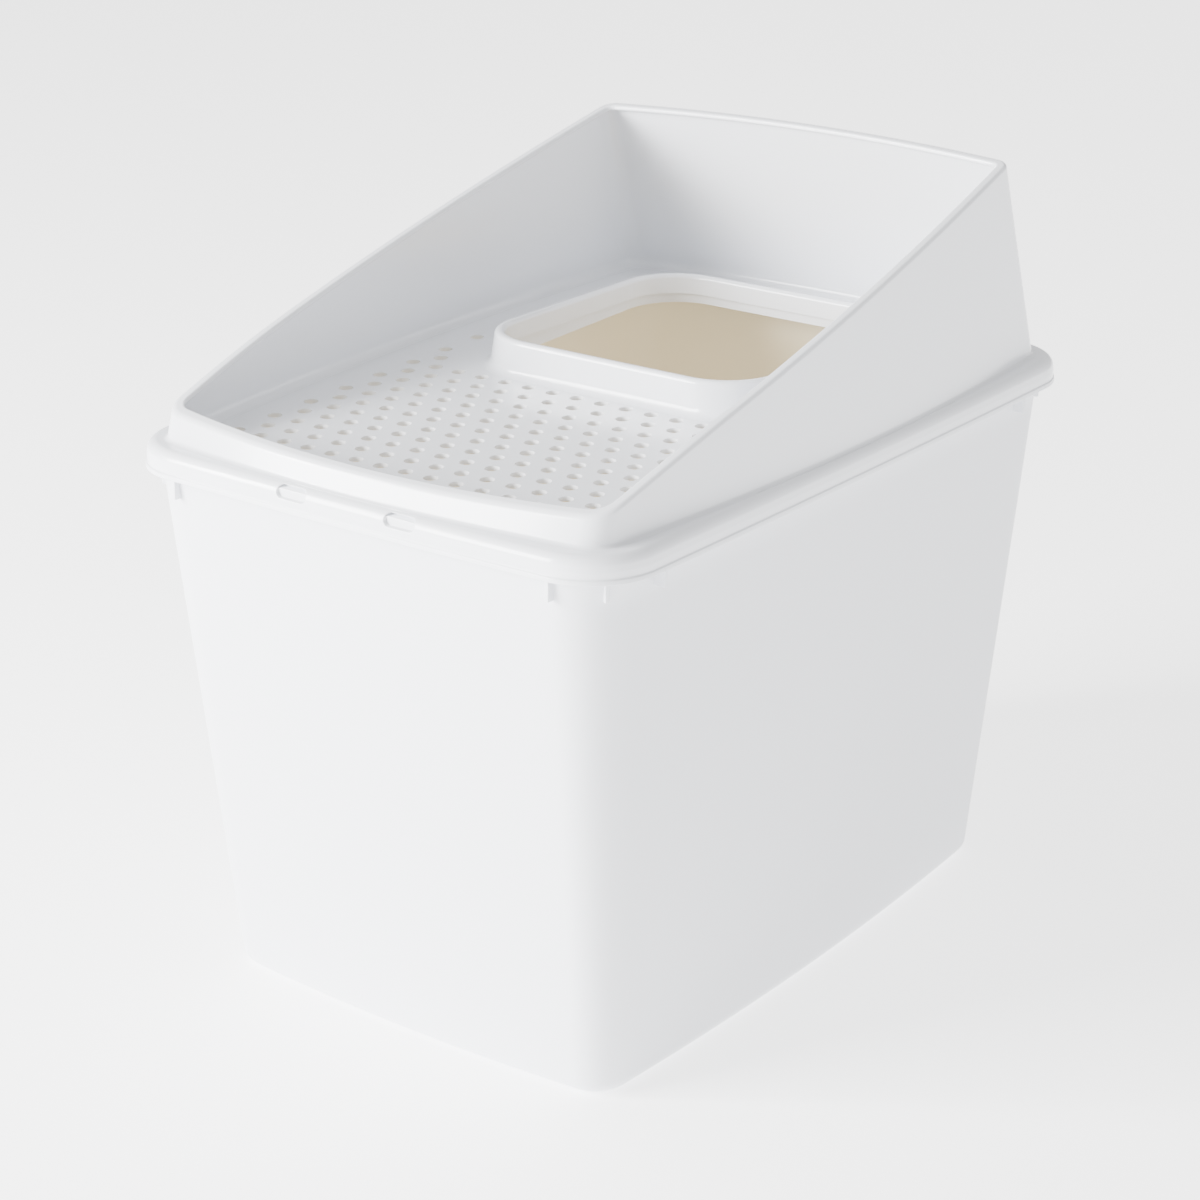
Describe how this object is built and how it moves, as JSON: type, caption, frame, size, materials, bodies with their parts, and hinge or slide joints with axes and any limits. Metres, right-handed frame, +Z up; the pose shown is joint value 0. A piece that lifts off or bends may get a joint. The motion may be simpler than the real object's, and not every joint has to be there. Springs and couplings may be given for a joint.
{
  "type": "top-entry cat litter box",
  "caption": "Top-entry cat litter box: deep tapered tub, hanging inner bin, and a lid with sloping splash hood, perforated step deck and square raised entry collar.",
  "frame": {"origin": "on the floor, under the middle of the lid's skirt", "axes": "+Z up; -Y is the low front of the hood; +X is on the right as seen from the front"},
  "size_m": [0.3912, 0.5588, 0.5208],
  "materials": {
    "white_tub": "satin moulded polypropylene",
    "white_lid": "semi-gloss moulded polypropylene",
    "beige_bin": "satin moulded polypropylene"
  },
  "bodies": {
    "tub": {"tub": "white_tub"},
    "bin": {"inner_bin": "beige_bin"},
    "lid": {"hood": "white_lid", "deck": "white_lid"}
  },
  "joints": [
    {"name": "lid_lift", "type": "slide", "parent": "tub", "child": "lid", "axis": [0, 0, 1], "range_m": [0, 0.45]},
    {"name": "bin_lift", "type": "slide", "parent": "tub", "child": "bin", "axis": [0, 0, 1], "range_m": [0, 0.3825]}
  ],
  "couplings": [
    {"joint": "bin_lift", "follows": "lid_lift", "ratio": 0.85}
  ]
}
